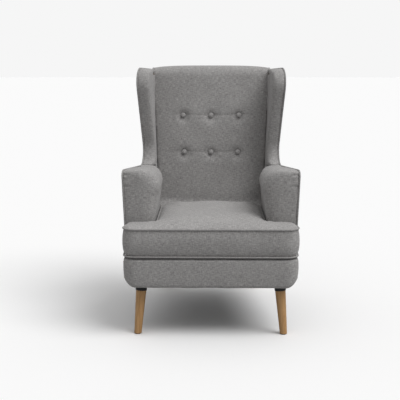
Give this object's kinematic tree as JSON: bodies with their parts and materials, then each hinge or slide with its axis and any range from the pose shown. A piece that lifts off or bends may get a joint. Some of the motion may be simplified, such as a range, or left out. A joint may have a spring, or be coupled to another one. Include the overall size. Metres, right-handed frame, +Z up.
{
  "type": "wingback armchair",
  "caption": "Wingback armchair with padded arms and wings edged in piping, a button-tufted back, a loose T-shaped seat cushion and splayed round wooden legs.",
  "frame": {"origin": "on the floor, at the middle of the chair's outline seen from above", "axes": "+Z up, +X to the right of someone who looks at the chair's front, and the chair faces -Y"},
  "size_m": [0.723, 0.8001, 1.0551],
  "materials": {
    "tweed": "woven grey tweed",
    "piping": "the same tweed, cut on the bias over cord",
    "button_cover": "the same tweed over a button form",
    "leg_wood": "satin lacquered light hardwood",
    "socket_plastic": "black moulded",
    "glide_plastic": "dark moulded",
    "frame_timber": "sawn hardwood",
    "plywood": "sawn plywood",
    "steel": "zinc plated",
    "twine": "waxed twine",
    "webbing": "elastic webbing",
    "felt": "needled felt",
    "deck_cloth": "plain lining cloth",
    "dust_cloth": "black nonwoven cloth",
    "foam": "open-cell foam",
    "zip_tape": "woven tape",
    "zip_metal": "dark painted die-cast metal"
  },
  "bodies": {
    "chair": {"back_pad": "tweed", "arm_pad_right": "tweed", "arm_pad_left": "tweed", "wing_pad_right": "tweed", "wing_pad_left": "tweed", "outside_arm_right": "tweed", "outside_arm_left": "tweed", "outside_wing_right": "tweed", "outside_wing_left": "tweed", "outside_back": "tweed", "front_border": "tweed", "piping_right": "piping", "piping_left": "piping", "tuft_buttons": "button_cover", "leg_front_right": "leg_wood", "leg_front_left": "leg_wood", "leg_rear_right": "leg_wood", "leg_rear_left": "leg_wood", "leg_socket_front_right": "socket_plastic", "leg_socket_front_left": "socket_plastic", "leg_socket_rear_right": "socket_plastic", "leg_socket_rear_left": "socket_plastic", "glide_front_right": "glide_plastic", "glide_front_left": "glide_plastic", "glide_rear_right": "glide_plastic", "glide_rear_left": "glide_plastic", "front_rail": "frame_timber", "rear_rail": "frame_timber", "side_rail_right": "frame_timber", "side_rail_left": "frame_timber", "corner_blocks": "frame_timber", "back_post_right": "frame_timber", "back_post_left": "frame_timber", "back_top_rail": "frame_timber", "back_lower_rail": "frame_timber", "arm_post_right": "frame_timber", "arm_post_left": "frame_timber", "arm_rail_right": "frame_timber", "arm_rail_left": "frame_timber", "arm_lower_rail_right": "frame_timber", "arm_lower_rail_left": "frame_timber", "wing_board_right": "plywood", "wing_board_left": "plywood", "hanger_bolts": "steel", "seat_springs": "steel", "spring_clips": "steel", "tuft_washers": "steel", "tuft_ties": "twine", "back_webbing": "webbing", "deck_pad": "felt", "deck_cloth": "deck_cloth", "dust_cover": "dust_cloth"},
    "seat_cushion": {"cushion_core": "foam", "cushion_cover": "tweed", "cushion_piping_bottom": "piping", "cushion_piping_top": "piping", "zip_tape": "zip_tape"},
    "zip_slider": {"zip_slider": "zip_metal"}
  },
  "joints": [
    {"name": "cushion_slide", "type": "slide", "parent": "chair", "child": "seat_cushion", "axis": [0, -1, 0], "range_m": [0, 0.25]},
    {"name": "zip_slide", "type": "slide", "parent": "seat_cushion", "child": "zip_slider", "axis": [1, 0, 0], "range_m": [0, 0.36]}
  ]
}
